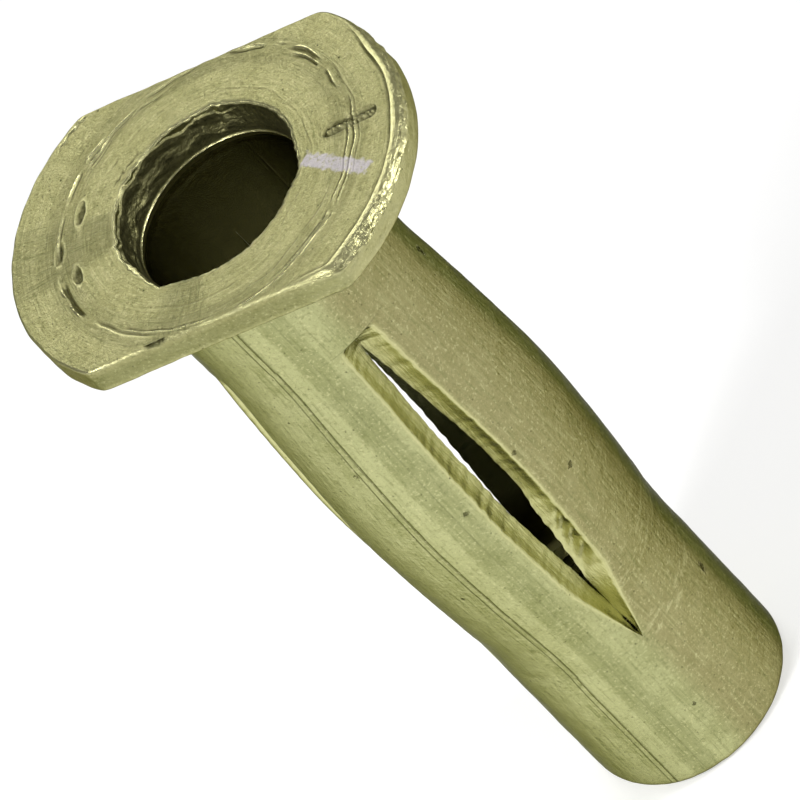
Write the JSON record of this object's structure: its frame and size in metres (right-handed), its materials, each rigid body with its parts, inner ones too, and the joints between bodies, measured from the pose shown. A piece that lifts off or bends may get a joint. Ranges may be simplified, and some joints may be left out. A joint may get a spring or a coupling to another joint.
{
  "type": "wall anchor",
  "caption": "Slotted, pre-bulged steel wall anchor with a double-D flange and a threaded nose; its legs fold outward when it is set.",
  "frame": {"origin": "centre of the nose's end face, at the bottom of the anchor", "axes": "+Z along the anchor's axis from the nose to the flange; the flange's two flats face +Y and -Y"},
  "size_m": [0.0176, 0.0132, 0.038],
  "materials": {
    "flange_plating": "satin yellow zinc plating with turning marks",
    "neck_plating": "satin yellow zinc plating",
    "leg_plating": "satin, grainy yellow zinc plating",
    "nose_plating": "satin yellow zinc plating"
  },
  "bodies": {
    "head": {"flange": "flange_plating", "neck": "neck_plating"},
    "leg_1_upper": {"leg_1_upper": "leg_plating"},
    "leg_1_lower": {"leg_1_lower": "leg_plating"},
    "nose": {"leg_1_foot": "leg_plating", "threaded_barrel": "nose_plating"},
    "leg_2_upper": {"leg_2_upper": "leg_plating"},
    "leg_2_lower": {"leg_2_lower": "leg_plating"},
    "leg_2_foot": {"leg_2_foot": "leg_plating"},
    "leg_3_upper": {"leg_3_upper": "leg_plating"},
    "leg_3_lower": {"leg_3_lower": "leg_plating"},
    "leg_3_foot": {"leg_3_foot": "leg_plating"},
    "leg_4_upper": {"leg_4_upper": "leg_plating"},
    "leg_4_lower": {"leg_4_lower": "leg_plating"},
    "leg_4_foot": {"leg_4_foot": "leg_plating"}
  },
  "joints": [
    {"name": "leg_1_root_fold", "type": "hinge", "parent": "head", "child": "leg_1_upper", "pos_m": [0.00466, -0.00099, 0.0312], "axis": [-0.2079, -0.9781, 0], "range_deg": [0, 80]},
    {"name": "leg_1_knee_fold", "type": "hinge", "parent": "leg_1_upper", "child": "leg_1_lower", "pos_m": [0.00339, -0.00072, 0.02047], "axis": [-0.2079, -0.9781, 0], "range_deg": [-160, 0]},
    {"name": "leg_1_foot_fold", "type": "hinge", "parent": "leg_1_lower", "child": "nose", "pos_m": [0.00466, -0.00099, 0.00974], "axis": [-0.2079, -0.9781, 0], "range_deg": [0, 80]},
    {"name": "leg_2_root_fold", "type": "hinge", "parent": "head", "child": "leg_2_upper", "pos_m": [0.00099, 0.00466, 0.0312], "axis": [0.9781, -0.2079, 0], "range_deg": [0, 80]},
    {"name": "leg_2_knee_fold", "type": "hinge", "parent": "leg_2_upper", "child": "leg_2_lower", "pos_m": [0.00072, 0.00339, 0.02047], "axis": [0.9781, -0.2079, 0], "range_deg": [-160, 0]},
    {"name": "leg_2_foot_fold", "type": "hinge", "parent": "leg_2_lower", "child": "leg_2_foot", "pos_m": [0.00099, 0.00466, 0.00974], "axis": [0.9781, -0.2079, 0], "range_deg": [0, 80]},
    {"name": "leg_3_root_fold", "type": "hinge", "parent": "head", "child": "leg_3_upper", "pos_m": [-0.00466, 0.00099, 0.0312], "axis": [0.2079, 0.9781, 0], "range_deg": [0, 80]},
    {"name": "leg_3_knee_fold", "type": "hinge", "parent": "leg_3_upper", "child": "leg_3_lower", "pos_m": [-0.00339, 0.00072, 0.02047], "axis": [0.2079, 0.9781, 0], "range_deg": [-160, 0]},
    {"name": "leg_3_foot_fold", "type": "hinge", "parent": "leg_3_lower", "child": "leg_3_foot", "pos_m": [-0.00466, 0.00099, 0.00974], "axis": [0.2079, 0.9781, 0], "range_deg": [0, 80]},
    {"name": "leg_4_root_fold", "type": "hinge", "parent": "head", "child": "leg_4_upper", "pos_m": [-0.00099, -0.00466, 0.0312], "axis": [-0.9781, 0.2079, 0], "range_deg": [0, 80]},
    {"name": "leg_4_knee_fold", "type": "hinge", "parent": "leg_4_upper", "child": "leg_4_lower", "pos_m": [-0.00072, -0.00339, 0.02047], "axis": [-0.9781, 0.2079, 0], "range_deg": [-160, 0]},
    {"name": "leg_4_foot_fold", "type": "hinge", "parent": "leg_4_lower", "child": "leg_4_foot", "pos_m": [-0.00099, -0.00466, 0.00974], "axis": [-0.9781, 0.2079, 0], "range_deg": [0, 80]}
  ],
  "couplings": [
    {"joint": "leg_1_knee_fold", "follows": "leg_1_root_fold", "ratio": -2},
    {"joint": "leg_1_foot_fold", "follows": "leg_1_root_fold", "ratio": 1},
    {"joint": "leg_2_root_fold", "follows": "leg_1_root_fold", "ratio": 1},
    {"joint": "leg_2_knee_fold", "follows": "leg_1_root_fold", "ratio": -2},
    {"joint": "leg_2_foot_fold", "follows": "leg_1_root_fold", "ratio": 1},
    {"joint": "leg_3_root_fold", "follows": "leg_1_root_fold", "ratio": 1},
    {"joint": "leg_3_knee_fold", "follows": "leg_1_root_fold", "ratio": -2},
    {"joint": "leg_3_foot_fold", "follows": "leg_1_root_fold", "ratio": 1},
    {"joint": "leg_4_root_fold", "follows": "leg_1_root_fold", "ratio": 1},
    {"joint": "leg_4_knee_fold", "follows": "leg_1_root_fold", "ratio": -2},
    {"joint": "leg_4_foot_fold", "follows": "leg_1_root_fold", "ratio": 1}
  ]
}
